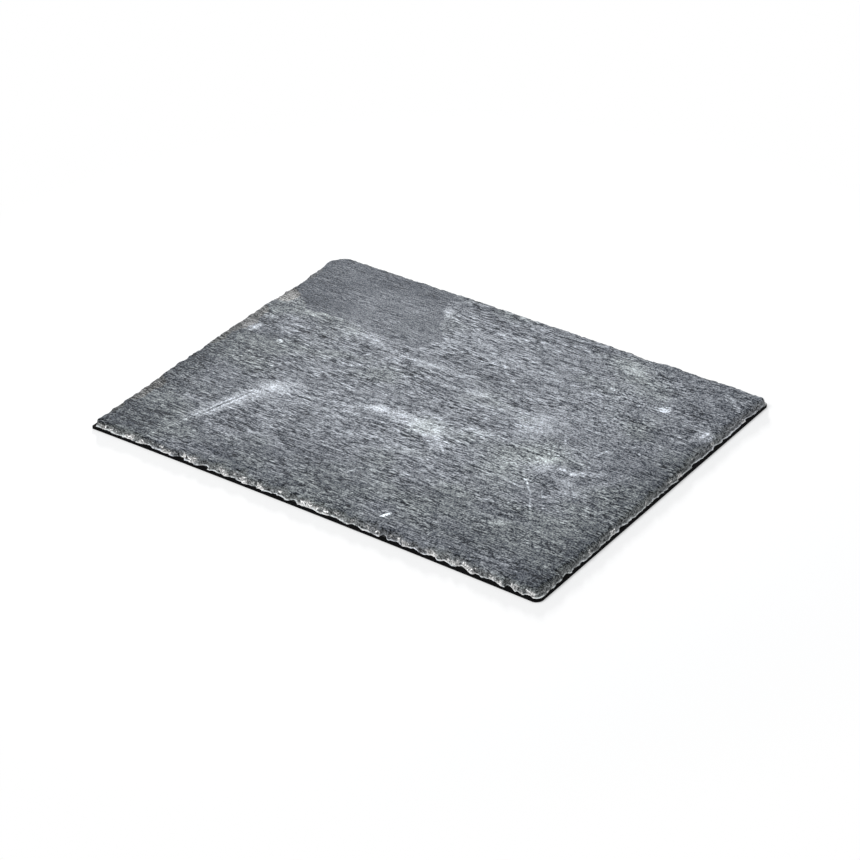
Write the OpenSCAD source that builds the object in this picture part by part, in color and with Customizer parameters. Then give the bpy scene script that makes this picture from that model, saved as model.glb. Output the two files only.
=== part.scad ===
// Slate serving board: a riven stone slab with hand-dressed edges, glued to a black foam backing.
// Millimetres, +Z up. The origin is at the middle of the underside, with the length along X.

/* [Board] */
// Length of the board, along X
board_length = 400; // [250:5:600]
// Width of the board, along Y
board_width = 300; // [180:5:400]

/* [Slate slab] */
// Thickness of the slab up to its lowest cleavage plane
slab_thickness = 4.4; // [3:0.1:8]
// Height of one cleavage step on the riven face
cleavage_step = 0.3; // [0.1:0.05:0.6]
// Distance from the edge of the backing in to the edge of the slab
slab_setback = 0.4; // [0:0.1:2]
// Corner radius at the front left
front_left_radius = 3; // [1:0.5:20]
// Corner radius at the front right
front_right_radius = 3; // [1:0.5:20]
// Corner radius at the back right
back_right_radius = 6; // [1:0.5:20]
// Corner radius at the back left, where the corner has broken away
back_left_radius = 14; // [1:0.5:20]

/* [Dressed edges] */
// Mean width of the flake scars along an edge
scar_width = 10; // [7:0.5:16]
// Height of the ridges between neighbouring flake scars
scar_ridge = 0.8; // [0.4:0.1:1.2]
// Mean reach of the flake scars into the riven face, front edge
front_scar_reach = 7; // [2:0.5:9]
// Mean reach of the flake scars into the riven face, right edge
right_scar_reach = 4; // [2:0.5:9]
// Mean reach of the flake scars into the riven face, back edge
back_scar_reach = 4; // [2:0.5:9]
// Mean reach of the flake scars into the riven face, left edge
left_scar_reach = 5; // [2:0.5:9]
// Mean reach of the flake scars into the riven face, round the corners
corner_scar_reach = 4; // [2:0.5:9]
// Mean bite of the flake scars into the bottom edge
scar_undercut = 1; // [0.4:0.1:2]
// Seed of the natural variation from scar to scar
scar_seed = 7; // [1:1:99]

/* [Foam backing] */
// Thickness of the backing sheet
backing_thickness = 2; // [1:0.1:4]
// Corner radius of the backing sheet
backing_radius = 2.5; // [1:0.5:20]

/* [Adhesive film] */
// Thickness of the adhesive film between slab and backing
film_thickness = 0.2; // [0.1:0.05:0.5]
// Distance from the deepest bite in the slab's bottom edge in to the film
film_margin = 2; // [0.5:0.5:10]

/* [Hidden] */
$fn = 48;

// Levels, from the surface that the board stands on
film_bottom = backing_thickness;
slab_bottom = film_bottom + film_thickness;

// Outlines
slab_length = board_length - 2 * slab_setback;
slab_width = board_width - 2 * slab_setback;
slab_radii = [front_left_radius, front_right_radius, back_right_radius, back_left_radius];

// Natural variation: a scar's reach, bite and width each vary by these shares of their mean
reach_share = 0.5;
undercut_share = 0.6;
width_share = 0.5;
deepest_bite = scar_undercut * (1 + undercut_share);
film_inset = slab_setback + deepest_bite + film_margin;
// Every cut runs past the faces that it opens by this much
overrun = 1;

// Two sheets of stone that are left on the riven face, the second lying on the first.
// Each outline is in shares of the slab's length and width, from the middle.
first_sheet_shares = [
    [-0.50, -0.36], [-0.46, -0.28], [-0.47, -0.12], [-0.43, 0.02], [-0.44, 0.12],
    [-0.41, 0.20], [-0.34, 0.22], [-0.28, 0.20], [-0.21, 0.16], [-0.18, 0.24],
    [-0.12, 0.30], [-0.16, 0.38], [-0.19, 0.44], [-0.20, 0.50],
    [0.50, 0.50], [0.50, -0.50], [-0.50, -0.50]
];
second_sheet_shares = [
    [-0.30, -0.44], [-0.33, -0.30], [-0.29, -0.12], [-0.20, -0.06], [-0.06, 0.02],
    [0.08, 0.14], [0.20, 0.10], [0.26, 0.02], [0.33, -0.04], [0.29, -0.12],
    [0.34, -0.22], [0.27, -0.34], [0.12, -0.38], [-0.08, -0.45]
];
sheets = [first_sheet_shares, second_sheet_shares];
slab_height = slab_thickness + cleavage_step * len(sheets);

// The side of the middle that a corner is on, along X and Y
function corner_side(corner) = [corner == 0 || corner == 3 ? -1 : 1, corner < 2 ? -1 : 1];

// Middle of a plate's corner arc
function corner_middle(length, width, radius, corner) =
    let (side = corner_side(corner))
    [side.x * (length / 2 - radius), side.y * (width / 2 - radius)];

// Sum of the first `count` values of a list
function sum_of(values, count) = count == 0 ? 0 : values[count - 1] + sum_of(values, count - 1);

// Radius of an arc over a chord
function arc_radius(chord, rise) = (chord * chord / 4 + rise * rise) / (2 * rise);

// A flake scar is a round hollow through two lines: `reach` in from the edge on the riven face,
// and `undercut` in from the edge on the bottom face.
function scar_span(reach, undercut) = norm([reach - undercut, slab_height]);

// The radius at which the hollow's middle stands right over the edge, so that no lip is left outside it
function least_radius(reach, undercut) =
    scar_span(reach, undercut) * norm([slab_height, reach + undercut]) / (2 * slab_height);

// Middle of the hollow as [distance outwards from the edge, height above the slab's bottom]
function scar_middle(reach, undercut, radius) =
    let (span = scar_span(reach, undercut),
         rise = sqrt(radius * radius - span * span / 4),
         outward = [slab_height, reach - undercut] / span)
    [-(reach + undercut), slab_height] / 2 + outward * rise;

module slate_slab() {
    color("#5d646b")
    translate([0, 0, slab_bottom])
    difference() {
        slab_blank();
        edge_scars(slab_length, slab_width / 2, front_scar_reach, 0);
        edge_scars(slab_width, slab_length / 2, right_scar_reach, 1);
        edge_scars(slab_length, slab_width / 2, back_scar_reach, 2);
        edge_scars(slab_width, slab_length / 2, left_scar_reach, 3);
        for (corner = [0 : len(slab_radii) - 1])
            corner_scars(corner);
    }
}

// The split slab with its riven face, before its edges are dressed
module slab_blank() {
    rounded_plate(slab_length, slab_width, slab_thickness, slab_radii);
    intersection() {
        rounded_plate(slab_length, slab_width, slab_height, slab_radii);
        for (i = [0 : len(sheets) - 1])
            linear_extrude(slab_thickness + (i + 1) * cleavage_step)
                polygon([for (p = sheets[i]) [p.x * slab_length, p.y * slab_width]]);
    }
}

// The row of flake scars along one edge. Side 0 is the front, and they run anticlockwise.
module edge_scars(edge_length, edge_distance, mean_reach, side) {
    count = round(edge_length / scar_width);
    vary = rands(-1, 1, 3 * count, scar_seed + side);
    shares = [for (i = [0 : count - 1]) 1 + width_share * vary[i]];
    unit = edge_length / sum_of(shares, count);
    rotate([0, 0, side * 90])
    for (i = [0 : count - 1])
        translate([unit * (sum_of(shares, i) + shares[i] / 2) - edge_length / 2, -edge_distance, 0])
            flake_scar(unit * shares[i], mean_reach, vary[count + i], vary[2 * count + i]);
}

// The flake scars round one corner. Corner 0 is at the front left, and they run anticlockwise.
module corner_scars(corner) {
    radius = slab_radii[corner];
    arc = radius * PI / 2;
    count = max(1, round(arc / scar_width));
    vary = rands(-1, 1, 2 * count, scar_seed + len(slab_radii) + corner);
    middle = corner_middle(slab_length, slab_width, radius, corner);
    translate([middle.x, middle.y, 0])
    for (i = [0 : count - 1])
        rotate([0, 0, 90 * (corner - 1 + (i + 1 / 2) / count)])
        translate([0, -radius, 0])
            flake_scar(max(scar_width, arc / count), corner_scar_reach, vary[i], vary[count + i]);
}

// One flake scar at an edge that runs along X, with the slab on its +Y side
module flake_scar(width, mean_reach, reach_vary, undercut_vary) {
    reach = mean_reach * (1 + reach_share * reach_vary);
    undercut = scar_undercut * (1 + undercut_share * undercut_vary);
    radius = max(arc_radius(width, scar_ridge), least_radius(reach, undercut));
    middle = scar_middle(reach, undercut, radius);
    translate([0, -middle.x, middle.y])
        sphere(radius);
}

module adhesive_film() {
    color("#c9c4b4")
    translate([0, 0, film_bottom])
        rounded_plate(board_length - 2 * film_inset, board_width - 2 * film_inset,
                      film_thickness, slab_radii);
}

module foam_backing() {
    color("#141414")
    rounded_plate(board_length, board_width, backing_thickness,
                  [backing_radius, backing_radius, backing_radius, backing_radius]);
}

// A plate with its own radius at each corner, anticlockwise from the front left
module rounded_plate(length, width, height, radii) {
    difference() {
        translate([-length / 2, -width / 2, 0])
            cube([length, width, height]);
        for (corner = [0 : len(radii) - 1]) {
            middle = corner_middle(length, width, radii[corner], corner);
            translate([middle.x, middle.y, 0])
                corner_waste(radii[corner], height, corner_side(corner));
        }
    }
}

// What is cut off a square corner to round it
module corner_waste(radius, height, side) {
    difference() {
        translate([side.x < 0 ? -radius - overrun : 0, side.y < 0 ? -radius - overrun : 0, -overrun])
            cube([radius + overrun, radius + overrun, height + 2 * overrun]);
        translate([0, 0, -2 * overrun])
            cylinder(h = height + 4 * overrun, r = radius);
    }
}

slate_slab();
adhesive_film();
foam_backing();
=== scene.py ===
"""Slate serving board: a riven stone slab with dressed edges, stuck to a black foam backing.

Lengths are in millimetres, along the board's own axes, and each finished mesh is brought to metres.
"""

import logging
import math
from dataclasses import dataclass
from enum import Enum
from typing import Callable, Dict, List, Optional, Sequence, Tuple, Union

import bmesh
import bpy
import numpy as np
from mathutils import Matrix, Vector


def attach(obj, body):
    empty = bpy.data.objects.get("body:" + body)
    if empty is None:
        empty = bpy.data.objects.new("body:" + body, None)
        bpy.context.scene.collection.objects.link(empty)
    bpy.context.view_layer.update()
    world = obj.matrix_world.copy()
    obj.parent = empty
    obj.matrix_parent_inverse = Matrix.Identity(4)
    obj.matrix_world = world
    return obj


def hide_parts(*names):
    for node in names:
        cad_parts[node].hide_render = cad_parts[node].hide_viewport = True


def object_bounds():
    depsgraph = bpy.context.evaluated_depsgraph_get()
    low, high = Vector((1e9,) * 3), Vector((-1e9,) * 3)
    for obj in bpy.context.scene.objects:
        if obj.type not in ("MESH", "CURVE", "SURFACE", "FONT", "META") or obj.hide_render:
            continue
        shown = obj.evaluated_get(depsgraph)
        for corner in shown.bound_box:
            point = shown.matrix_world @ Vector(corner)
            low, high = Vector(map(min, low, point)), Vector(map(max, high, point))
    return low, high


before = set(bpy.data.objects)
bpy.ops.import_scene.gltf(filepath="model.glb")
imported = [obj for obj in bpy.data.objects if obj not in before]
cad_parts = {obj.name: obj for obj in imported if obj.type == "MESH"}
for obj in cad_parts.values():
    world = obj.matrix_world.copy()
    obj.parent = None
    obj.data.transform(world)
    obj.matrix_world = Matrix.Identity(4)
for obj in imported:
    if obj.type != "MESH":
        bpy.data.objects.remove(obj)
cad_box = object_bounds()
log = logging.getLogger("slate_board")

MM = 0.001
Triple = Tuple[float, float, float]
Colour = Triple
ByEdge = Tuple[float, float, float, float]

# The board's size in millimetres, from the frame
BOARD_LENGTH, BOARD_WIDTH = (round((high - low) / MM, 2) for low, high in list(zip(*cad_box))[:2])
# How far the slab's edges lie inside the backing's
SLAB_SETBACK = 0.2
# How far the front edge bows inwards at its middle
FRONT_BOW = 1.8


class Field:
    """A number that changes over a surface: a node socket that takes part in Python expressions."""

    def __init__(self, bench: "Bench", socket: bpy.types.NodeSocket) -> None:
        """Keeps the socket and the bench that its nodes are added on."""
        self.bench = bench
        self.socket = socket

    def math(self, operation: str, *others: "Number", clamp: bool = False) -> "Field":
        """Adds a Math node on this field.

        Args:
            operation: the Math node's operation.
            others: the node's other inputs.
            clamp: whether the result is kept between 0 and 1.

        Returns:
            The node's result.
        """
        return self.bench.math(operation, self, *others, clamp=clamp)

    def __add__(self, other: "Number") -> "Field":
        """Field plus number."""
        return self.math("ADD", other)

    def __radd__(self, other: "Number") -> "Field":
        """Number plus field."""
        return self.math("ADD", other)

    def __sub__(self, other: "Number") -> "Field":
        """Field minus number."""
        return self.math("SUBTRACT", other)

    def __rsub__(self, other: "Number") -> "Field":
        """Number minus field."""
        return self.bench.math("SUBTRACT", other, self)

    def __mul__(self, other: "Number") -> "Field":
        """Field times number."""
        return self.math("MULTIPLY", other)

    def __rmul__(self, other: "Number") -> "Field":
        """Number times field."""
        return self.math("MULTIPLY", other)

    def __pow__(self, other: "Number") -> "Field":
        """Field to a power."""
        return self.math("POWER", other)

    def __abs__(self) -> "Field":
        """Size of the field without its sign."""
        return self.math("ABSOLUTE")

    def clamped(self) -> "Field":
        """The field, kept between 0 and 1."""
        return self.math("ADD", 0.0, clamp=True)


Number = Union[Field, float]
Input = Union[Field, bpy.types.NodeSocket, float, Sequence[float]]


class Bench:
    """The node tree of one material or world, and the few nodes that its recipes are written with."""

    def __init__(self, owner: Union[bpy.types.Material, bpy.types.World]) -> None:
        """Clears the node tree.

        Args:
            owner: the new material or world.
        """
        self.owner = owner
        self.owner.use_nodes = True
        self.tree = self.owner.node_tree
        self.tree.nodes.clear()

    def node(self, kind: str, settings: Optional[dict] = None,
             inputs: Optional[dict] = None) -> bpy.types.Node:
        """Adds any node.

        Args:
            kind: the node's type, without its ShaderNode prefix.
            settings: the node's properties, which are set first.
            inputs: values or links, by the socket's name or number.

        Returns:
            The new node.
        """
        made = self.tree.nodes.new("ShaderNode" + kind)
        for key, value in (settings or {}).items():
            setattr(made, key, value)
        for key, value in (inputs or {}).items():
            if isinstance(value, Field):
                value = value.socket
            if isinstance(value, bpy.types.NodeSocket):
                self.tree.links.new(value, made.inputs[key])
            else:
                made.inputs[key].default_value = value
        return made

    def math(self, operation: str, *values: Number, clamp: bool = False) -> Field:
        """Adds a Math node.

        Args:
            operation: the node's operation.
            values: its inputs, in order.
            clamp: whether the result is kept between 0 and 1.

        Returns:
            The node's result.
        """
        settings = {"operation": operation, "use_clamp": clamp}
        return Field(self, self.node("Math", settings, dict(enumerate(values))).outputs[0])

    def vector(self, operation: str, *values: Input) -> bpy.types.NodeSocket:
        """Adds a Vector Math node and returns its vector."""
        return self.node("VectorMath", {"operation": operation}, dict(enumerate(values))).outputs["Vector"]

    def places(self) -> bpy.types.NodeSocket:
        """The place on the board in millimetres."""
        place = self.node("TexCoord").outputs["Object"]
        return self.node("VectorMath", {"operation": "SCALE"}, {0: place, "Scale": 1 / MM}).outputs["Vector"]

    def turned(self, place: Input, degrees: float) -> bpy.types.NodeSocket:
        """Turns places about the Z axis, anticlockwise."""
        inputs = {"Vector": place, "Rotation": (0.0, 0.0, math.radians(degrees))}
        return self.node("Mapping", {"vector_type": "POINT"}, inputs).outputs["Vector"]

    def attribute(self, name: str) -> Field:
        """A number that is kept on the mesh's points."""
        return Field(self, self.node("Attribute", {"attribute_name": name}).outputs["Fac"])

    def noise(self, place: Input, cells: Triple, detail: float, roughness: float = 0.5) -> Field:
        """Adds a noise of its own cell size in each direction.

        Args:
            place: where it is read, in millimetres.
            cells: size of a cell along X, Y and Z, in millimetres.
            detail: finer octaves.
            roughness: share of each finer octave.

        Returns:
            A number round 0, mostly between -0.5 and 0.5.
        """
        scaled = self.vector("DIVIDE", place, cells)
        inputs = {"Vector": scaled, "Scale": 1.0, "Detail": detail, "Roughness": roughness}
        return Field(self, self.node("TexNoise", None, inputs).outputs[0]) - 0.5

    def drift(self, place: Input, cell: float, size: Triple) -> bpy.types.NodeSocket:
        """Moves places about by a noise, so that patterns bend.

        Args:
            place: the places to move, in millimetres.
            cell: size of the noise's cells.
            size: how far it moves them along X, Y and Z.

        Returns:
            The moved places.
        """
        scaled = self.vector("DIVIDE", place, (cell, cell, cell))
        colour = self.node("TexNoise", None, {"Vector": scaled, "Scale": 1.0, "Detail": 2.0}).outputs["Color"]
        centred = self.vector("SUBTRACT", colour, (0.5, 0.5, 0.5))
        return self.vector("MULTIPLY_ADD", centred, size, place)

    def step(self, value: Number, low: float, high: float) -> Field:
        """A smooth step.

        Args:
            value: what is stepped.
            low: where the result is 0.
            high: where the result is 1. It may be below `low`.

        Returns:
            A number from 0 to 1.
        """
        ends = (high, low, 1.0, 0.0) if low > high else (low, high, 0.0, 1.0)
        inputs = dict(zip(("From Min", "From Max", "To Min", "To Max"), ends), Value=value)
        made = self.node("MapRange", {"interpolation_type": "SMOOTHSTEP"}, inputs)
        return Field(self, made.outputs["Result"])

    def blend(self, share: Number, first: Number, second: Number) -> Field:
        """Goes from the first number to the second as the share goes from 0 to 1."""
        inputs = {"Factor": share, 2: first, 3: second}
        return Field(self, self.node("Mix", {"data_type": "FLOAT"}, inputs).outputs[0])

    def colours(self, share: Number, first: Input, second: Input, mode: str = "MIX") -> bpy.types.NodeSocket:
        """Mixes two colours and returns the mixed colour."""
        inputs = {0: share, 6: first, 7: second}
        return self.node("Mix", {"data_type": "RGBA", "blend_type": mode}, inputs).outputs[2]

    def surface(self, inputs: Dict[str, Input], height: Field) -> bpy.types.Material:
        """Ends the recipe with a Principled shader.

        Args:
            inputs: the shader's own inputs.
            height: the surface's relief, in millimetres.

        Returns:
            The finished material.
        """
        bump = self.node("Bump", None, {"Height": height, "Distance": MM, "Strength": 1.0})
        shader = self.node("BsdfPrincipled", None, {**inputs, "Normal": bump.outputs["Normal"]})
        self.node("OutputMaterial", None, {"Surface": shader.outputs["BSDF"]})
        return self.owner

    def shaders(self, share: Input, first: bpy.types.Node, second: bpy.types.Node) -> bpy.types.Node:
        """Goes from the first shader to the second as the share goes from 0 to 1."""
        return self.node("MixShader", None, {0: share, 1: first.outputs[0], 2: second.outputs[0]})

    def seen(self) -> Field:
        """1 where the camera looks, straight, in a mirror or through glass, and 0 for all other light."""
        path = self.node("LightPath").outputs
        kinds = ("Is Camera Ray", "Is Glossy Ray", "Is Transmission Ray")
        straight, mirrored, through = (Field(self, path[kind]) for kind in kinds)
        return (straight + mirrored + through).clamped()


def rgba(colour: Colour) -> Tuple[float, float, float, float]:
    """The colour with full alpha."""
    return (*colour, 1.0)


class MarkKind(Enum):
    """What a mark on the riven face is."""

    ZONE = "zone"
    CLOUD = "cloud"
    SPOT = "spot"
    SCRATCH = "scratch"


@dataclass(frozen=True)
class Mark:
    """One pale or dark mark on the riven face, as an ellipse.

    Attributes:
        kind: a wide zone of tone, partly painted light and shade, a soft cloud, a crisp spot or a fine
            scratch.
        x: its middle along X.
        y: its middle along Y.
        length: its longer axis.
        width: its shorter axis.
        turn: degrees of the longer axis from +X, anticlockwise.
        weight: the level that it adds at its middle.
    """

    kind: MarkKind
    x: float
    y: float
    length: float
    width: float
    turn: float
    weight: float

    # Half of a mark's size along Z, so large that the mark goes straight through the stone
    THROUGH = 1.0e4

    def lay(self, bench: Bench, place: Input, below: Number) -> Field:
        """Adds the mark to the marks below it.

        Args:
            bench: the material's bench.
            place: where the mark is read, in millimetres.
            below: the sum of the marks so far.

        Returns:
            The sum with this mark.
        """
        inputs = {
            "Vector": place,
            "Location": (self.x, self.y, 0.0),
            "Rotation": (0.0, 0.0, math.radians(self.turn)),
            "Scale": (self.length / 2, self.width / 2, self.THROUGH),
        }
        local = bench.node("Mapping", {"vector_type": "TEXTURE"}, inputs).outputs["Vector"]
        hill = bench.node("TexGradient", {"gradient_type": "SPHERICAL"}, {"Vector": local})
        mask = Field(bench, hill.outputs["Fac"])
        softness = {MarkKind.ZONE: 0.8, MarkKind.CLOUD: 0.6, MarkKind.SPOT: 0.35}
        if self.kind in softness:
            mask = bench.step(mask, 0.0, softness[self.kind])
        return bench.math("MULTIPLY_ADD", mask, self.weight, below)


@dataclass(frozen=True)
class Ground:
    """The places on the stone that its patterns are read at, in millimetres.

    Attributes:
        place: the place itself.
        swept: turned along the grain, and swept in wide curves.
        bent: the same, bent in small waves too.
        ragged: moved about for the clouds' outlines.
        worn: moved about for the spots' outlines.
        wavy: moved about a little for the scratches.
    """

    place: bpy.types.NodeSocket
    swept: bpy.types.NodeSocket
    bent: bpy.types.NodeSocket
    ragged: bpy.types.NodeSocket
    worn: bpy.types.NodeSocket
    wavy: bpy.types.NodeSocket

    @classmethod
    def lay(cls, bench: Bench, grain_turn: float) -> "Ground":
        """Adds the nodes.

        Args:
            bench: the material's bench.
            grain_turn: degrees of the grain from +X, anticlockwise.

        Returns:
            The places.
        """
        place = bench.places()
        swept = bench.drift(bench.turned(place, -grain_turn), 70.0, (0.0, 9.0, 0.0))
        return cls(
            place=place,
            swept=swept,
            bent=bench.drift(swept, 13.0, (3.0, 2.2, 0.0)),
            ragged=bench.drift(place, 9.0, (8.0, 5.0, 0.0)),
            worn=bench.drift(place, 4.0, (2.0, 2.0, 0.0)),
            wavy=bench.drift(place, 14.0, (1.6, 1.6, 0.0)),
        )


@dataclass(frozen=True)
class Grain:
    """The grain of the riven face. All but `veins`, `crest`, `groove` and `vigour` are noises round 0.

    Attributes:
        ripples: long ripples along the grain.
        fine: short fine lines along the grain.
        specks: specks that have no direction.
        crinkles: fine crinkles of the roughened parts.
        veins: thin lines of the roughened parts.
        crest: pale crests of the folds.
        groove: dark grooves between the folds.
        mottle: soft mottling along the grain.
        patches: wide patches along the grain.
        drifts: wide patches that have no direction.
        ragged: raggedness of the cleavage sheets' outlines.
        vigour: how strong the grain is.
    """

    ripples: Field
    fine: Field
    specks: Field
    crinkles: Field
    veins: Field
    crest: Field
    groove: Field
    mottle: Field
    patches: Field
    drifts: Field
    ragged: Field
    vigour: Field

    @classmethod
    def lay(cls, bench: Bench, ground: Ground) -> "Grain":
        """Adds the nodes.

        Args:
            bench: the material's bench.
            ground: where the grain is read.

        Returns:
            The grain.
        """
        folds = bench.noise(ground.bent, (56.0, 5.0, 9.0), 1.5)
        cracks = bench.noise(ground.bent, (24.0, 2.8, 6.0), 1.0)
        strokes = bench.noise(ground.bent, (18.0, 1.9, 6.0), 0.0)
        groove = bench.step(abs(folds), 0.05, 0.0) + bench.step(abs(cracks), 0.06, 0.0)
        lively = bench.step(bench.noise(ground.swept, (34.0, 12.0, 20.0), 2.0, 0.55), -0.2, 0.2)
        smooth = bench.step(bench.noise(ground.swept, (13.0, 6.0, 9.0), 1.0), 0.13, 0.21)
        return cls(
            ripples=bench.noise(ground.bent, (28.0, 1.8, 6.0), 1.0),
            fine=bench.noise(ground.bent, (4.6, 0.85, 2.0), 1.0),
            specks=bench.noise(ground.place, (1.1, 1.1, 1.1), 1.0),
            crinkles=bench.noise(ground.worn, (1.7, 1.1, 1.5), 1.0),
            veins=bench.step(abs(bench.noise(ground.worn, (6.0, 2.8, 4.0), 1.0)), 0.03, 0.0),
            crest=bench.step(abs(folds - 0.08), 0.05, 0.0) + bench.step(abs(cracks - 0.10), 0.06, 0.0),
            groove=groove + bench.step(abs(strokes), 0.05, 0.0),
            mottle=bench.noise(ground.swept, (36.0, 8.0, 9.0), 2.0, 0.55),
            patches=bench.noise(ground.swept, (80.0, 30.0, 40.0), 2.0),
            drifts=bench.noise(ground.place, (64.0, 40.0, 50.0), 2.0),
            ragged=bench.noise(ground.place, (9.0, 6.0, 9.0), 3.0, 0.65),
            vigour=(0.65 + 0.65 * lively) * (1.0 - 0.8 * smooth),
        )


@dataclass(frozen=True)
class Sheets:
    """The cleavage sheets of the riven face. Where both are gone, the lowest plane lies bare.

    Attributes:
        first: ragged distance from the first sheet's outline, above 0 on the sheet.
        second: the same for the second sheet.
        pane: 1 on the lowest plane, which is smooth and dark.
        first_line: pale stretches along the first sheet's outline.
        second_line: the same for the second sheet.
    """

    first: Field
    second: Field
    pane: Field
    first_line: Field
    second_line: Field

    @classmethod
    def lay(cls, bench: Bench, grain: Grain) -> "Sheets":
        """Adds the nodes.

        Args:
            bench: the material's bench.
            grain: the grain that makes the outlines ragged.

        Returns:
            The sheets.
        """
        first = bench.attribute("first_sheet") + grain.ragged * 6.0 + grain.fine * 3.0
        second = bench.attribute("second_sheet") + grain.ragged * 10.0 + grain.fine * 3.0
        first_stretches = bench.step(grain.patches + grain.ragged, -0.12, 0.22)
        second_stretches = bench.step(grain.patches - grain.ragged, 0.0, 0.3)
        return cls(
            first=first,
            second=second,
            pane=bench.step(first, 0.8, -0.8),
            first_line=bench.step(abs(first - 1.5), 3.5, 0.0) * first_stretches,
            second_line=bench.step(abs(second), 2.5, 0.0) * second_stretches,
        )


@dataclass(frozen=True)
class Breaks:
    """The broken edges.

    Attributes:
        depth: how far the stone lies under the riven face, in millimetres.
        rim: 1 at the very edge.
        scarred: 1 where the stone is broken off deep.
        fresh: 1 on freshly broken flakes.
        leaves: tone of the leaves that the stone breaks in.
        leaf_edge: pale and dark lines along the leaves: a painted highlight on each leaf's edge and painted
            shade on the step just outside it.
        chips: tone of the small chips.
        lip: the pale dashes of the thin lip, partly pale freshly broken stone and partly a painted highlight
            where the lip catches the light.
    """

    depth: Field
    rim: Field
    scarred: Field
    fresh: Field
    leaves: Field
    leaf_edge: Field
    chips: Field
    lip: Field

    @classmethod
    def lay(cls, bench: Bench, place: bpy.types.NodeSocket) -> "Breaks":
        """Adds the nodes.

        Args:
            bench: the material's bench.
            place: the place on the stone, in millimetres.

        Returns:
            The broken edges.
        """
        depth, rim, inward = (bench.attribute(name) for name in ("scar_depth", "rim", "rim_inward"))
        along = bench.node("CombineXYZ", None, {0: bench.attribute("rim_walk"), 1: inward})
        edgewise = bench.drift(along.outputs[0], 4.0, (2.0, 1.2, 0.0))
        chips = bench.noise(place, (1.7, 1.7, 1.2), 3.0, 0.65)
        scarred = bench.step(depth + chips * 1.6, 0.8, 2.2)
        fresh = bench.step(bench.attribute("pale") + chips * 0.5, 0.35, 0.65) * scarred
        terrace = inward * 0.8 + bench.noise(edgewise, (6.5, 40.0, 1.0), 2.0, 0.55) * 3.6
        terrace = (terrace + chips * 0.5).math("FRACT")
        # Painted highlight along each leaf's edge and painted shade on the step just outside it.
        leaf_edge = bench.step(terrace, 0.28, 0.0) * 0.40 - bench.step(terrace, 0.7, 1.0) * 0.18
        # The lip's dashes: partly pale freshly broken stone, partly a painted highlight where the thin lip
        # catches the light.
        dashes = bench.step(bench.noise(edgewise, (5.0, 1.6, 1.0), 2.0, 0.6), -0.10, 0.0)
        return cls(
            depth=depth,
            rim=rim,
            scarred=scarred,
            fresh=fresh,
            leaves=bench.noise(edgewise, (5.5, 1.15, 1.0), 3.0, 0.6),
            leaf_edge=leaf_edge * (0.4 + fresh),
            chips=chips,
            lip=rim * (0.2 + 0.8 * dashes),
        )


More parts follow.
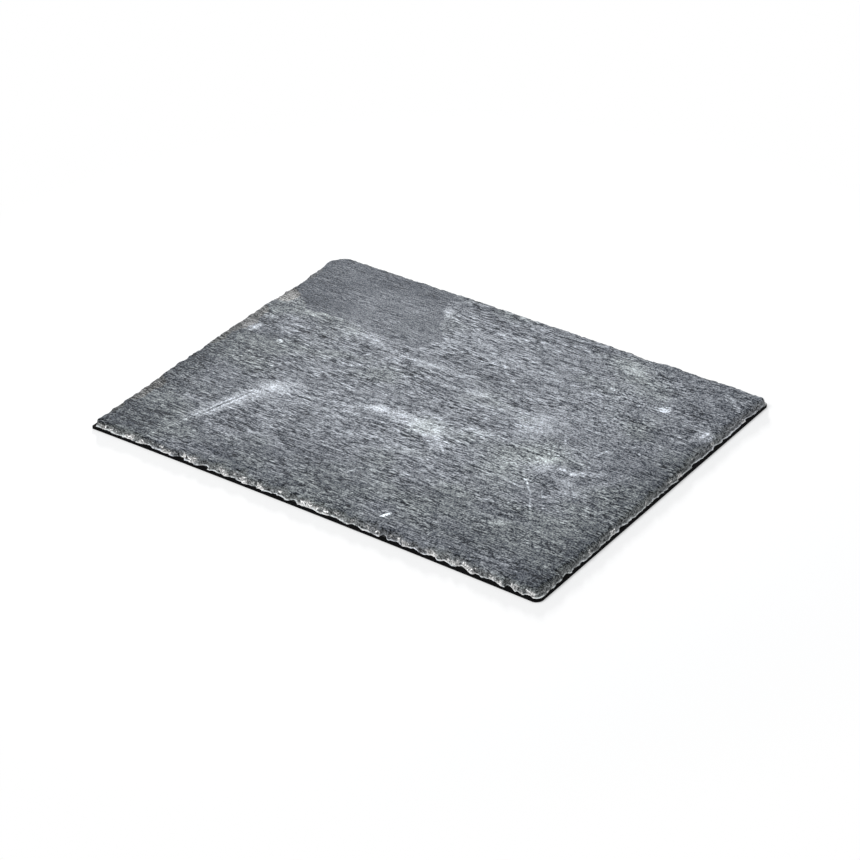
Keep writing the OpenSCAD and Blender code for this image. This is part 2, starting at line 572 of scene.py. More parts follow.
@dataclass(frozen=True)
class SlateFinish:
    """Riven slate: fine grain along the length, pale powdery clouds, scratches and freshly broken edges, with
    painted light and shade in its wide zones, on the bevel, along the leaves' edges and on the lip.

    Attributes:
        level: display level of the plain stone, from 0 to 1.
        darkest: display level that nothing falls below.
        display_power: power that turns a display level into a colour's strength.
        blue: tint of the plain stone.
        olive: tint of its greener parts.
        deep: tint of its darkest parts.
        sheen: tint of what the face mirrors.
        chalk: tint of the freshly broken flakes.
        brown: tint of the stained flakes at the left edge.
        gloss: how strongly the face mirrors.
        dullness: roughness of the plain stone.
        grain_turn: degrees of the grain from +X, anticlockwise.
        ripple: height of the riven ripples.
        grit: height of the finer grain.
    """

    level: float = 0.480
    darkest: float = 0.10
    display_power: float = 2.2
    blue: Colour = (0.932, 0.988, 1.083)
    olive: Colour = (0.935, 1.012, 1.035)
    deep: Colour = (0.80, 0.96, 1.32)
    sheen: Colour = (0.62, 0.83, 1.0)
    chalk: Colour = (1.0, 0.99, 0.98)
    brown: Colour = (1.0, 0.985, 0.965)
    gloss: float = 0.04
    dullness: float = 0.60
    grain_turn: float = 1.0
    ripple: float = 0.20
    grit: float = 0.10

    def marks(self) -> List[Mark]:
        """The zones, clouds, spots and scratches of this piece of stone. The zones are partly painted light
        and shade.

        Returns:
            The marks, from rows of X, Y, length, width, turn and weight.
        """
        # Zones: partly the stone's own tone, partly painted light and shade, lighter in the middle and darker
        # along the front, left and right margins, where the light falls off.
        zones = (
            (0, -165, 560, 150, 0, -0.11), (215, -20, 120, 440, 0, -0.15), (-215, -40, 110, 440, 0, -0.16),
            (-165, 108, 150, 110, 0, -0.01), (20, 55, 320, 220, 0, 0.06), (140, -115, 120, 70, 0, -0.07),
            (-20, -108, 180, 60, 0, -0.08), (-20, -28, 280, 110, 0, 0.06), (-190, -150, 130, 110, 0, -0.13),
            (195, -150, 90, 100, 0, -0.05), (50, 132, 280, 80, 0, 0.04), (105, 20, 140, 120, 0, 0.03),
            (-110, -30, 90, 90, 0, 0.04), (150, -25, 60, 60, 0, 0.02), (-195, -80, 80, 220, 0, -0.04),
            (105, -80, 170, 60, 0, -0.06), (192, -100, 80, 150, 0, -0.10), (-150, 12, 110, 70, 0, -0.03),
            (-95, 122, 110, 56, 0, 0.065), (0, 95, 180, 80, 0, 0.035), (111, 50, 70, 50, 0, 0.03),
            (-40, -45, 70, 80, 0, 0.075), (110, -38, 140, 70, 0, 0.03), (-90, -72, 100, 50, 0, 0.03),
            (-152, -118, 80, 70, 0, -0.085), (-205, 20, 190, 440, 0, -0.065), (0, 142, 420, 40, 0, -0.03),
            (-37, 124, 70, 40, 0, 0.05), (-140, 62, 180, 220, 0, 0.032), (135, 75, 120, 200, 0, -0.03),
            (168, 142, 110, 44, 0, -0.06), (-190, 28, 50, 50, 0, 0.05), (148, -75, 50, 34, 0, -0.05),
        )
        clouds = (
            (-2, -21, 92, 27, -2, 0.13), (-32, -20, 18, 13, 0, 0.13), (-9, -17, 46, 9, 0, 0.08),
            (28, -33, 40, 20, -40, 0.11), (24, -42, 18, 12, -20, -0.12), (74, 23, 48, 44, -15, 0.085),
            (84, 36, 46, 11, 0, 0.06), (56, -6, 62, 10, 0, 0.06), (111, -14, 28, 24, -25, 0.15),
            (147, -34, 26, 26, 0, 0.07), (122, -34, 22, 12, -20, -0.09), (99, 130, 24, 18, 0, 0.15),
            (99, 78, 9, 7, 0, 0.10), (17, 35, 29, 11, 0, 0.11), (127, -93, 18, 11, 25, 0.18),
            (188, 79, 22, 24, 0, 0.17), (-106, 58, 60, 19, -4, 0.12), (-46, 52, 88, 8, 0, 0.07),
            (-63, 41, 24, 9, 0, 0.09), (-188, 23, 24, 19, 0, 0.11), (-190, 72, 24, 28, 0, 0.11),
            (-158, 63, 24, 9, 0, 0.10), (-71, 122, 22, 12, -45, 0.17), (-58, 134, 14, 9, 0, 0.06),
            (-45, 80, 28, 44, 0, 0.05), (-110, -34, 40, 30, 40, 0.12), (-123, -56, 66, 30, 71, 0.14),
            (-135, -84, 70, 22, 72, 0.13), (-146, -114, 54, 14, 74, 0.09), (14, 59, 30, 22, 0, -0.06),
            (-9, 23, 46, 22, 0, -0.06), (114, 21, 19, 12, 0, -0.06), (151, 53, 24, 9, 0, -0.06),
            (-166, 18, 15, 9, 0, -0.09), (36, -72, 20, 11, 0, 0.06), (0, -101, 18, 20, 0, 0.05),
            (-111, 2, 44, 22, 0, 0.05), (-74, 50, 44, 18, 0, 0.06), (-37, -26, 30, 20, 0, 0.05),
        )
        spots = (
            (145, 94, 12, 10, 40, 0.34), (110, -13, 9, 6, 0, 0.08), (127, -14, 10, 4.5, 0, 0.24),
            (137, -14, 8, 6, 60, 0.34), (142, -11, 9, 7, 60, 0.18), (132, -5, 17, 9, -8, -0.14),
            (-154, 16, 7, 6, 0, 0.36), (188, 80, 15, 5, 86, 0.24), (193, 77, 12, 4, 80, 0.20),
            (-80, -62, 10, 5, 5, 0.16), (-183, 23, 18, 6, 84, 0.20), (18, 36, 25, 8, 0, 0.04),
            (74, -122, 10, 6, 0, -0.06), (112, -77, 12, 7, 0, -0.05), (50, 40, 11, 6, 0, -0.06),
            (-96, -36, 11, 6, 30, -0.05),
        )
        scratches = (
            (-122, -52, 60, 2.6, 71, 0.14), (-134, -83, 84, 2.0, 74.5, -0.24),
            (-132, -83, 90, 2.4, 74.5, 0.22), (-136, -83, 90, 2.4, 74.5, 0.20),
            (-141, -106, 50, 2.2, 73, 0.16), (110, -48, 28, 3.6, -9, 0.30),
            (137, -49, 20, 3.4, 27, 0.26), (117, -43, 36, 3.2, -44, 0.34), (134, -64, 46, 3.0, -56, 0.24),
            (154, -96, 56, 3.0, -54, 0.14), (56, -129, 12, 4.0, 63, 1.0), (58, -67, 9, 2.8, 76, 0.24),
            (-86, 37, 10, 3.6, 66, 0.40), (13, 78, 14, 2.6, 70, 0.22), (139, 20, 16, 3.2, 66, 0.36),
            (143, 28, 10, 2.6, 30, 0.22), (107, 20, 14, 3.0, -62, 0.34), (40, -39, 22, 2.8, -46, 0.20),
            (2, -98, 22, 2.6, 75, 0.16), (-26, 100, 14, 2.6, -40, 0.20), (-110, -5, 84, 2.4, 0, 0.14),
            (54, -6, 70, 2.4, -1, 0.14), (-45, 51, 96, 2.6, 0, 0.14), (-88, 0, 40, 2.4, 0, -0.16),
            (8, 0, 72, 2.6, 0, -0.16), (-20, -27, 90, 2.2, 0, 0.10), (-10, -12, 80, 2.2, 0, -0.12),
        )
        rows = dict(zip(MarkKind, (zones, clouds, spots, scratches)))
        return [Mark(kind, *numbers) for kind in MarkKind for numbers in rows[kind]]

    def lay_marks(self, bench: Bench, ground: Ground) -> Dict[MarkKind, Number]:
        """Adds the marks.

        Args:
            bench: the material's bench.
            ground: where the marks are read.

        Returns:
            The sum of the marks of each kind.
        """
        read_at = dict(zip(MarkKind, (ground.place, ground.ragged, ground.worn, ground.wavy)))
        sums: Dict[MarkKind, Number] = {kind: 0.0 for kind in MarkKind}
        for mark in self.marks():
            sums[mark.kind] = mark.lay(bench, read_at[mark.kind], sums[mark.kind])
        return sums

    def face_level(self, grain: Grain, sheets: Sheets, marks: Dict[MarkKind, Number], calm: Field,
                   rough: Field) -> Field:
        """Adds up the display level of the riven face.

        Args:
            grain: its grain.
            sheets: its cleavage sheets.
            marks: the sum of the marks of each kind.
            calm: how strong the grain is at each place.
            rough: how crinkled the face is at each place.

        Returns:
            The level.
        """
        zones, clouds, spots, scratches = (marks[kind] for kind in MarkKind)
        specks = grain.specks
        streaks = grain.ripples * 0.63 + grain.crest * 0.15 - grain.groove * 0.21 + grain.fine * 2.4
        crinkled = grain.crinkles * 1.7 + grain.veins * 0.22
        lines = (streaks * (1.0 - 0.3 * rough) + crinkled * rough) * calm + specks * 1.4
        # The zones add painted light and shade as well as the stone's tone.
        level = self.level + zones * 0.84 + grain.patches * 0.24 + grain.mottle * 0.14
        level = level + lines * 0.545 - abs(lines) * 0.09
        level = level + clouds * (0.95 + grain.ripples + specks)
        level = level + spots * (0.95 + specks) + scratches * (0.95 + specks * 0.8)
        level = level + sheets.first_line * (0.06 + specks * 0.4) + sheets.second_line * (0.04 + specks * 0.3)
        return level - 0.084 * sheets.pane

    def stone_level(self, bench: Bench, face: Field, specks: Field, breaks: Breaks) -> Field:
        """Goes from the riven face over the bevel, lightened with painted light, to the broken stone and its
        pale lip, partly a painted highlight.

        Args:
            bench: the material's bench.
            face: display level of the riven face.
            specks: the stone's specks.
            breaks: the broken edges.

        Returns:
            The display level of the whole surface.
        """
        leaves, chips = breaks.leaves, breaks.chips
        broken = 0.45 + leaves * 0.8 + chips * 0.8 + specks * 0.9 + breaks.leaf_edge
        broken = broken + breaks.fresh * (0.28 + leaves)
        # Nearly white on the lip: partly pale fresh stone, partly a painted highlight.
        broken = bench.blend(breaks.lip, broken, 0.95 + chips * 0.4)
        # Painted light: the bevel is lightened, most at the front and right edges, for the lamp light and
        # sheen that it loses as it turns away from the lamps.
        dusty_and_painted_light = bench.step(breaks.depth, 0.03, 0.6) * bench.attribute("dust_and_painted_light")
        bevel = bench.blend(dusty_and_painted_light, face, face * 0.8 + 0.14)
        return bench.math("MAXIMUM", bench.blend(breaks.scarred, bevel, broken), self.darkest)

    def colour(self, bench: Bench, level: Field, greener: Field, breaks: Breaks) -> bpy.types.NodeSocket:
        """Tints the display level.

        Args:
            bench: the material's bench.
            level: display level of the surface.
            greener: share of the olive tint.
            breaks: the broken edges.

        Returns:
            The stone's colour.
        """
        deeper = bench.step(level, 0.515, 0.155) * bench.step(breaks.depth, 0.7, 0.05) * 0.9
        chalky = (breaks.scarred * 0.4 + breaks.fresh * 0.5).clamped()
        tint = bench.colours(greener, rgba(self.blue), rgba(self.olive))
        tint = bench.colours(deeper, tint, rgba(self.deep))
        tint = bench.colours(chalky, tint, rgba(self.chalk))
        tint = bench.colours(bench.attribute("stain"), tint, rgba(self.brown))
        return bench.colours(1.0, tint, (level ** self.display_power).socket, "MULTIPLY")

    def relief(self, bench: Bench, grain: Grain, sheets: Sheets, breaks: Breaks, calm: Field,
               rough: Field) -> Field:
        """Adds up the fine relief.

        Args:
            bench: the material's bench.
            grain: the grain of the riven face.
            sheets: its cleavage sheets.
            breaks: the broken edges.
            calm: how strong the grain is at each place.
            rough: how crinkled the face is at each place.

        Returns:
            The height in millimetres.
        """
        height = grain.ripples * self.ripple + grain.crest * 0.05 - grain.groove * 0.08
        height = height * calm * (1.0 - 0.6 * breaks.scarred)
        height = height + grain.fine * self.grit + grain.specks * 0.06 + grain.crinkles * rough * 0.14
        height = height + bench.step(sheets.first, -1.0, 1.0) * 0.16
        height = height + bench.step(sheets.second, -1.0, 1.0) * 0.10
        flaked = breaks.leaves * 0.6 + breaks.chips * 0.5 + breaks.leaf_edge * 0.5
        return height + flaked * breaks.scarred * (1.0 - 0.8 * breaks.rim)

    def material(self) -> bpy.types.Material:
        """Builds the finish.

        Returns:
            The slate's material.
        """
        bench = Bench(bpy.data.materials.new("riven_slate"))
        ground = Ground.lay(bench, self.grain_turn)
        grain = Grain.lay(bench, ground)
        sheets = Sheets.lay(bench, grain)
        breaks = Breaks.lay(bench, ground.place)
        marks = self.lay_marks(bench, ground)
        zones, clouds = marks[MarkKind.ZONE], marks[MarkKind.CLOUD]

        rough = bench.attribute("roughened")
        calm = grain.vigour * (1.0 - 0.5 * sheets.pane) * (1.0 - 2.0 * clouds).clamped()
        face = self.face_level(grain, sheets, marks, calm, rough)
        level = self.stone_level(bench, face, grain.specks, breaks)
        greener = bench.step(grain.drifts + grain.patches * 0.3 - zones * 1.2, -0.05, 0.22)
        roughness = self.dullness - clouds * 0.3 - grain.specks * 0.2 + 0.12 * breaks.scarred
        inputs = {
            "Base Color": self.colour(bench, level, greener * (1.0 - 0.8 * sheets.pane), breaks),
            "Roughness": roughness.clamped(),
            "Specular IOR Level": self.gloss,
            "Specular Tint": rgba(self.sheen),
        }
        return bench.surface(inputs, self.relief(bench, grain, sheets, breaks, calm, rough))


@dataclass(frozen=True)
class FoamFinish:
    """Black closed-cell foam: nearly black, dull, with fine round cells.

    Attributes:
        black: colour of the cell walls.
        dusty_and_painted_light: colour of the dusted patches on them.
        cell: size of the cells.
        pit: depth of the cells.
        gloss: how strongly the walls mirror.
        dullness: roughness of the walls.
    """

    black: Colour = (0.0022, 0.0022, 0.0025)
    dusty_and_painted_light: Colour = (0.006, 0.006, 0.0065)
    cell: float = 0.45
    pit: float = 0.12
    gloss: float = 0.05
    dullness: float = 0.86

    def material(self) -> bpy.types.Material:
        """Builds the finish.

        Returns:
            The foam's material.
        """
        bench = Bench(bpy.data.materials.new("black_foam"))
        place = bench.places()
        scaled = bench.vector("DIVIDE", place, (self.cell, self.cell, self.cell))
        bubbles = bench.node("TexVoronoi", None, {"Vector": scaled, "Scale": 1.0})
        cells = Field(bench, bubbles.outputs["Distance"])
        dust_and_painted_light = bench.step(bench.noise(place, (14.0, 14.0, 3.0), 3.0, 0.6), 0.0, 0.4)
        inputs = {
            "Base Color": bench.colours(dust_and_painted_light * 0.5 + cells * 0.2, rgba(self.black), rgba(self.dusty_and_painted_light)),
            "Roughness": (self.dullness - cells * 0.15).clamped(),
            "Specular IOR Level": self.gloss,
        }
        return bench.surface(inputs, cells * self.pit)


@dataclass(frozen=True)
class AdhesiveFinish:
    """Black acrylic adhesive, a little cloudy.

    Attributes:
        clear: colour where it is well pressed down.
        cloudy: colour where air is caught in it.
        bubble: height of the small bubbles.
        dullness: roughness where it is well pressed down.
    """

    clear: Colour = (0.004, 0.004, 0.0045)
    cloudy: Colour = (0.010, 0.010, 0.011)
    bubble: float = 0.04
    dullness: float = 0.62

    def material(self) -> bpy.types.Material:
        """Builds the finish.

        Returns:
            The adhesive's material.
        """
        bench = Bench(bpy.data.materials.new("acrylic_adhesive"))
        place = bench.places()
        air = bench.step(bench.noise(place, (18.0, 18.0, 18.0), 4.0, 0.6), -0.1, 0.3)
        bubbles = bench.noise(place, (1.6, 1.6, 1.6), 2.0, 0.5)
        colour = bench.colours(air, rgba(self.clear), rgba(self.cloudy))
        roughness = (self.dullness + air * 0.2 + bubbles * 0.2).clamped()
        return bench.surface({"Base Color": colour, "Roughness": roughness}, bubbles * self.bubble)


class Lattice:
    """Smooth random relief over the board, the same on every run."""

    def __init__(self, seed: int, size: int = 64) -> None:
        """Draws the lattice's values.

        Args:
            seed: seed of the values.
            size: values along each side, after which they repeat.
        """
        self.size = size
        self.values = np.random.default_rng(seed).uniform(-1.0, 1.0, (size, size))

    def at(self, x: np.ndarray, y: np.ndarray, cell_x: float, cell_y: float) -> np.ndarray:
        """Reads the relief.

        Args:
            x: places along X.
            y: places along Y.
            cell_x: size of a cell along X.
            cell_y: size of a cell along Y.

        Returns:
            Numbers between -1 and 1.
        """
        column = x / cell_x
        row = y / cell_y
        left = np.floor(column).astype(int)
        low = np.floor(row).astype(int)
        u = column - left
        v = row - low
        u = u * u * (3.0 - 2.0 * u)
        v = v * v * (3.0 - 2.0 * v)
        value = self.values
        size = self.size
        a = value[low % size, left % size] * (1 - u) + value[low % size, (left + 1) % size] * u
        b = value[(low + 1) % size, left % size] * (1 - u) + value[(low + 1) % size, (left + 1) % size] * u
        return a * (1 - v) + b * v


class Draw(Enum):
    """The stone's separate random draws, as steps from its seed."""

    WARP = 1
    WAVES = 2
    RIM = 3
    FLAKE_OUTLINES = 4
    LEAVES = 5
    COARSE_CHIPS = 6
    FINE_CHIPS = 7
    LIPS = 8
    CRINKLES = 9
    THIN_FLAKES = 20


class Edge(Enum):
    """The four edges, anticlockwise from the front."""

    FRONT = 0
    RIGHT = 1
    BACK = 2
    LEFT = 3


@dataclass(frozen=True)
class Scar:
    """What a flake left in an edge: an arch in the bottom outline and a bevel up to the riven face.

    Attributes:
        place: its middle along the edge, from the edge's middle.
        width: its width along the edge.
        reach: how far the bevel reaches in on the riven face.
        bite: how far the arch bites in on the bottom.
    """

    place: float
    width: float
    reach: float
    bite: float


class Chips:
    """Angular chips along the edges: jittered cells, each with its own level, tilt and tone."""

    ROWS = 16
    COLUMNS = 512

    def __init__(self, seed: int, along: float, across: float) -> None:
        """Draws the chips.

        Args:
            seed: seed of the chips.
            along: mean size of a chip along the edge.
            across: mean size of a chip across the edge.
        """
        rng = np.random.default_rng(seed)
        shape = (self.ROWS, self.COLUMNS)
        self.along, self.across = along, across
        self.shift_along, self.shift_across = rng.uniform(0.05, 0.95, (2, *shape))
        self.level, self.tilt_along, self.tilt_across = rng.uniform(-1.0, 1.0, (3, *shape))
        self.tone = rng.uniform(0.0, 1.0, shape)

    def at(self, walk: np.ndarray, inward: np.ndarray) -> Tuple[np.ndarray, np.ndarray]:
        """Finds the chip at each place.

        Args:
            walk: places along the rim.
            inward: distances in from the rim.

        Returns:
            The chip's height there, mostly between -1 and 1, and its tone from 0 to 1.
        """
        u, v = walk / self.along, inward / self.across
        nearest = np.full(u.shape, np.inf)
        height, tone = np.zeros(u.shape), np.zeros(u.shape)
        for column_step in (-1, 0, 1):
            for row_step in (-1, 0, 1):
                column = np.floor(u).astype(int) + column_step
                row = np.floor(v).astype(int) + row_step
                cell = (row % self.ROWS, column % self.COLUMNS)
                du = u - column - self.shift_along[cell]
                dv = v - row - self.shift_across[cell]
                gap = du * du + dv * dv
                closer = gap < nearest
                nearest = np.where(closer, gap, nearest)
                slope = self.tilt_along[cell] * du + self.tilt_across[cell] * dv
                height = np.where(closer, 0.6 * self.level[cell] + 0.9 * slope, height)
                tone = np.where(closer, self.tone[cell], tone)
        return height, tone


@dataclass(frozen=True)
class Flake:
    """A thin flat flake that has come off the riven face along an edge.

    Attributes:
        edge: the edge that it came off.
        place: its middle along the edge, from the edge's middle.
        width: its width along the edge.
        reach: how far it reaches in.
        depth: its thickness.
        stain: how brown the bared stone is, from 0 to 1.
    """

    edge: Edge
    place: float
    width: float
    reach: float
    depth: float
    stain: float


@dataclass
class SlateSlab:
    """The riven stone slab with its dressed edges.

    Attributes:
        length: length along X.
        width: width along Y.
        bottom: height of its bottom over the table.
        thickness: thickness up to the lowest cleavage plane.
        step: height of one cleavage step.
        radii: corner radii, anticlockwise from the front left.
        band: depth of the finely meshed band along the edges.
        cell: mesh size inside the band.
        cuts: cuts in each mesh edge where the band starts.
        rings: mesh rings in the band.
        gather: how strongly the rings gather towards the bottom outline.
        sheet_slope: width of the slope at a cleavage sheet's outline.
        wall: share of the thickness that is broken off steeply at the bottom.
        feather: how far the steep part leans in.
        crown: how strongly the bevel over it is crowned.
        lips: depth of the thin lip under the steep part, for each edge.
        lip_height: height of that lip at its inner side.
        painted_bevel_light: how strongly the bevel is lightened with painted light, for each edge, from 0 to
            1.
        leaf: thickness of the leaves that the stone breaks in.
        least: height that nothing but the bottom outline falls below.
        bow: how far the front edge bows inwards at the middle.
        deepest: the deepest bite into the bottom outline.
        sharpest: degrees between faces up to which they are shaded smooth.
        seed: seed of the natural variation.
    """

    length: float = BOARD_LENGTH - 2 * SLAB_SETBACK
    width: float = BOARD_WIDTH - 2 * SLAB_SETBACK
    bottom: float = 2.2
    thickness: float = 4.4
    step: float = 0.3
    radii: ByEdge = (3.0, 4.5, 4.0, 14.0)
    band: float = 18.0
    cell: float = 2.0
    cuts: int = 2
    rings: int = 32
    gather: float = 1.55
    sheet_slope: float = 2.4
    wall: float = 0.12
    feather: float = 0.5
    crown: float = 2.0
    lips: ByEdge = (1.05, 0.95, 0.25, 0.25)
    lip_height: float = 0.35
    painted_bevel_light: ByEdge = (0.8, 0.6, 0.35, 0.35)
    leaf: float = 0.8
    least: float = 0.03
    bow: float = FRONT_BOW
    deepest: float = 5.6
    sharpest: float = 42.0
    seed: int = 11

    # Place, width, reach and bite of each scar along the front edge, from left to right
    FRONT_SCARS = (
        (-187, 11, 7, 0.8), (-168, 26, 9, 0.5), (-149, 10, 6, 1.8), (-135, 17, 7, 0.6), (-119, 11, 8, 2.0),
        (-108, 11, 10, 0.5), (-96, 10, 6, 2.6), (-83, 16, 12, 0.8), (-66, 18, 13, 1.2), (-48, 16, 9, 1.0),
        (-29, 21, 12, 1.3), (-13, 10, 6, 2.2), (3, 20, 12, 0.9), (24, 22, 9, 1.1), (43, 14, 10, 1.6),
        (57, 14, 13, 0.7), (68, 7, 7, 3.4), (79, 13, 12, 1.4), (94, 18, 8, 1.2), (110, 11, 12, 1.6),
        (122, 11, 13, 1.3), (136, 15, 12, 2.4), (149, 8, 7, 1.6), (161, 17, 8, 1.5), (176, 9, 7, 2.6),
        (183, 6, 10, 0.8), (192, 10, 7, 1.4),
    )
    # Place, width and strength of the pale clusters of fresh flakes along the front edge
    FRONT_FLAKES = (
        (-194, 10, 0.7), (-161, 16, 0.8), (-136, 22, 0.9), (-113, 14, 1.0), (-95, 10, 0.8), (-81, 8, 0.8),
        (-66, 22, 0.8), (-47, 24, 1.0), (-6, 18, 0.8), (9, 8, 0.8), (20, 12, 1.0), (35, 26, 1.0),
        (51, 9, 0.8), (63, 8, 0.8), (77, 12, 0.7), (90, 13, 0.8), (112, 26, 0.8), (143, 13, 0.9),
        (165, 11, 0.9), (182, 10, 0.7), (189, 14, 0.8),
    )
    # The scars along the right edge, from front to back
    RIGHT_SCARS = (
        (-139, 14, 7, 0.6), (-128, 13, 6, 0.9), (-116, 14, 9, 1.6), (-105, 12, 8, 1.0), (-95, 13, 7, 0.7),
        (-84, 14, 6, 0.4), (-67, 16, 6, 0.9), (-57, 13, 7, 1.1), (-45, 13, 8, 1.8), (-35, 12, 7, 1.0),
        (-25, 12, 6, 0.7), (-16, 10, 6, 1.0), (-6, 14, 8, 1.2), (5, 12, 6, 0.9), (17, 18, 7, 0.9),
        (35, 24, 6, 1.0), (52, 18, 9, 1.8), (67, 16, 8, 1.0), (79, 13, 7, 1.6), (90, 13, 9, 0.9),
        (103, 18, 10, 0.8), (115, 14, 9, 0.9), (124, 10, 8, 1.6), (130, 9, 7, 0.8), (140, 14, 7, 0.4),
    )
    # The wider scars along the back edge, from right to left
    BACK_SCARS = (
        (-187, 16, 2.3, 0.2), (-160, 34, 1.1, 0.3), (-132, 14, 2.5, 0.4), (-97, 26, 3.8, 0.6),
        (-70, 26, 2.5, 0.4), (-42, 26, 0.9, 0.3), (6, 32, 1.9, 0.4), (103, 14, 1.6, 0.4),
        (158, 60, 1.9, 0.5),
    )
    # The wider scars near the two ends of the left edge
    LEFT_SCARS = ((115, 84, 4.5, 0.4), (-95, 60, 4.5, 0.4))
    # The greatest reach of the small scars between them, along the back and the left edge
    SMALL_REACH = {Edge.BACK: 1.2, Edge.LEFT: 3.0}
    # One scar at each corner, anticlockwise from the front left
    CORNER_SCARS = ((0, 18, 3.5, 0.8), (0, 13, 8.0, 1.0), (0, 9, 2.5, 0.1), (0, 18, 3.0, 0.6))
    # Outlines of the two sheets that are left on the riven face, in shares of the length and width
    FIRST_SHEET = (
        (-0.60, 0.29), (-0.47, 0.277), (-0.44, 0.25), (-0.42, 0.22), (-0.38, 0.227), (-0.31, 0.23),
        (-0.22, 0.215), (-0.15, 0.21), (-0.135, 0.25), (-0.12, 0.28), (-0.135, 0.305), (-0.16, 0.337),
        (-0.172, 0.38), (-0.195, 0.42), (-0.21, 0.60), (0.60, 0.60), (0.60, -0.60), (-0.60, -0.60),
    )
    SECOND_SHEET = (
        (-0.30, -0.44), (-0.33, -0.30), (-0.29, -0.12), (-0.20, -0.06), (-0.06, 0.02), (0.08, 0.14),
        (0.20, 0.10), (0.26, 0.02), (0.33, -0.04), (0.29, -0.12), (0.34, -0.22), (0.27, -0.34),
        (0.12, -0.38), (-0.08, -0.45),
    )

    @property
    def height(self) -> float:
        """Thickness over both sheets."""
        return self.thickness + 2 * self.step

    def edge_length(self, edge: Edge) -> float:
        """Length of an edge between its square corners."""
        return self.length if edge in (Edge.FRONT, Edge.BACK) else self.width

    def edge_distance(self, edge: Edge) -> float:
        """Distance of an edge from the middle of the board."""
        return (self.width if edge in (Edge.FRONT, Edge.BACK) else self.length) / 2

    @staticmethod
    def turned(edge: Edge, along: np.ndarray, out: np.ndarray) -> Tuple[np.ndarray, np.ndarray]:
        """Turns places at an edge into places on the board.

        Args:
            edge: the edge.
            along: places along the edge, anticlockwise.
            out: distances outwards from the middle of the board.

        Returns:
            The places along X and along Y.
        """
        turn = (
            (along, -out),
            (out, along),
            (-along, out),
            (-out, -along),
        )
        return turn[edge.value]

    def lattice(self, draw: Draw, size: int = 64) -> Lattice:
        """The lattice of one of the stone's random draws."""
        return Lattice(self.seed + draw.value, size)

    def scars(self, edge: Edge) -> List[Scar]:
        """The flake scars along one edge.

        Args:
            edge: the edge.

        Returns:
            The scars of the edge's table. A far edge has small ones drawn at random besides.
        """
        tables = dict(zip(Edge, (self.FRONT_SCARS, self.RIGHT_SCARS, self.BACK_SCARS, self.LEFT_SCARS)))
        made = [Scar(*numbers) for numbers in tables[edge]]
        if edge not in self.SMALL_REACH:
            return made
        rng = np.random.default_rng(self.seed + edge.value)
        place = -self.edge_length(edge) / 2
        while place < self.edge_length(edge) / 2:
            width = rng.uniform(6.0, 20.0)
            reach = rng.uniform(0.2, 1.0) * self.SMALL_REACH[edge]
            made.append(Scar(place + width / 2, width, reach, rng.uniform(0.1, 0.8)))
            place += width
        return made

    def flakes(self) -> List[Flake]:
        """The thin flakes that have come off the riven face along the edges.

        Returns:
            The larger flakes along the left and right edges, and small ones drawn at random.
        """
        made = [
            Flake(Edge.LEFT, -76, 24, 17, 0.4, 0.9), Flake(Edge.LEFT, -30, 50, 13, 0.35, 0.7),
            Flake(Edge.LEFT, 4, 26, 9, 0.5, 0.5), Flake(Edge.LEFT, 92, 44, 12, 0.35, 0.8),
            Flake(Edge.LEFT, 128, 24, 7, 0.5, 0.3), Flake(Edge.LEFT, -112, 30, 8, 0.4, 0.3),
            Flake(Edge.RIGHT, 64, 30, 9, 0.7, 0.0), Flake(Edge.RIGHT, -110, 34, 6, 0.8, 0.0),
        ]
        rng = np.random.default_rng(self.seed + Draw.THIN_FLAKES.value)
        for edge, count, deepest in ((Edge.FRONT, 12, 11.0), (Edge.BACK, 10, 6.0), (Edge.RIGHT, 7, 6.0)):
            room = self.edge_length(edge)
            for i in range(count):
                place = ((i + rng.uniform(0.2, 0.8)) / count - 0.5) * room
                reach = deepest * rng.uniform(0.55, 1.0)
                made.append(Flake(edge, place, rng.uniform(14, 38), reach, rng.uniform(0.2, 0.6), 0.0))
        return made

    def lay_plate(self) -> bpy.types.Object:
        """Makes the plate: a grid with walls drawn down from its rim, ring by ring, and a bottom.

        Returns:
            The plate. One ring lies 1 below the other, and the rim is still square.
        """
        bpy.ops.object.select_all(action="DESELECT")
        inner_length = self.length - 2 * self.band
        inner_width = self.width - 2 * self.band
        columns, rows = round(inner_length / self.cell), round(inner_width / self.cell)
        bpy.ops.mesh.primitive_grid_add(x_subdivisions=columns, y_subdivisions=rows, size=1.0)
        plate = bpy.context.active_object
        plate.name = plate.data.name = "riven_slab"
        bpy.ops.object.mode_set(mode="EDIT")
        bpy.ops.transform.resize(value=(inner_length, inner_width, 1.0))
        bpy.ops.mesh.select_mode(type="EDGE")
        self.select_rim()
        bpy.ops.mesh.subdivide(number_cuts=self.cuts)
        self.select_rim()
        for _ in range(self.rings):
            bpy.ops.mesh.extrude_region_move(TRANSFORM_OT_translate={"value": (0.0, 0.0, -1.0)})
        bpy.ops.mesh.edge_face_add()
        bpy.ops.mesh.select_all(action="SELECT")
        bpy.ops.mesh.normals_make_consistent(inside=False)
        bpy.ops.object.mode_set(mode="OBJECT")
        return plate

    @staticmethod
    def select_rim() -> None:
        """Selects the open edges of the mesh in edit mode."""
        bpy.ops.mesh.select_all(action="DESELECT")
        bpy.ops.mesh.select_non_manifold(
            extend=False, use_wire=False, use_boundary=True, use_multi_face=False, use_non_contiguous=False,
            use_verts=False,
        )

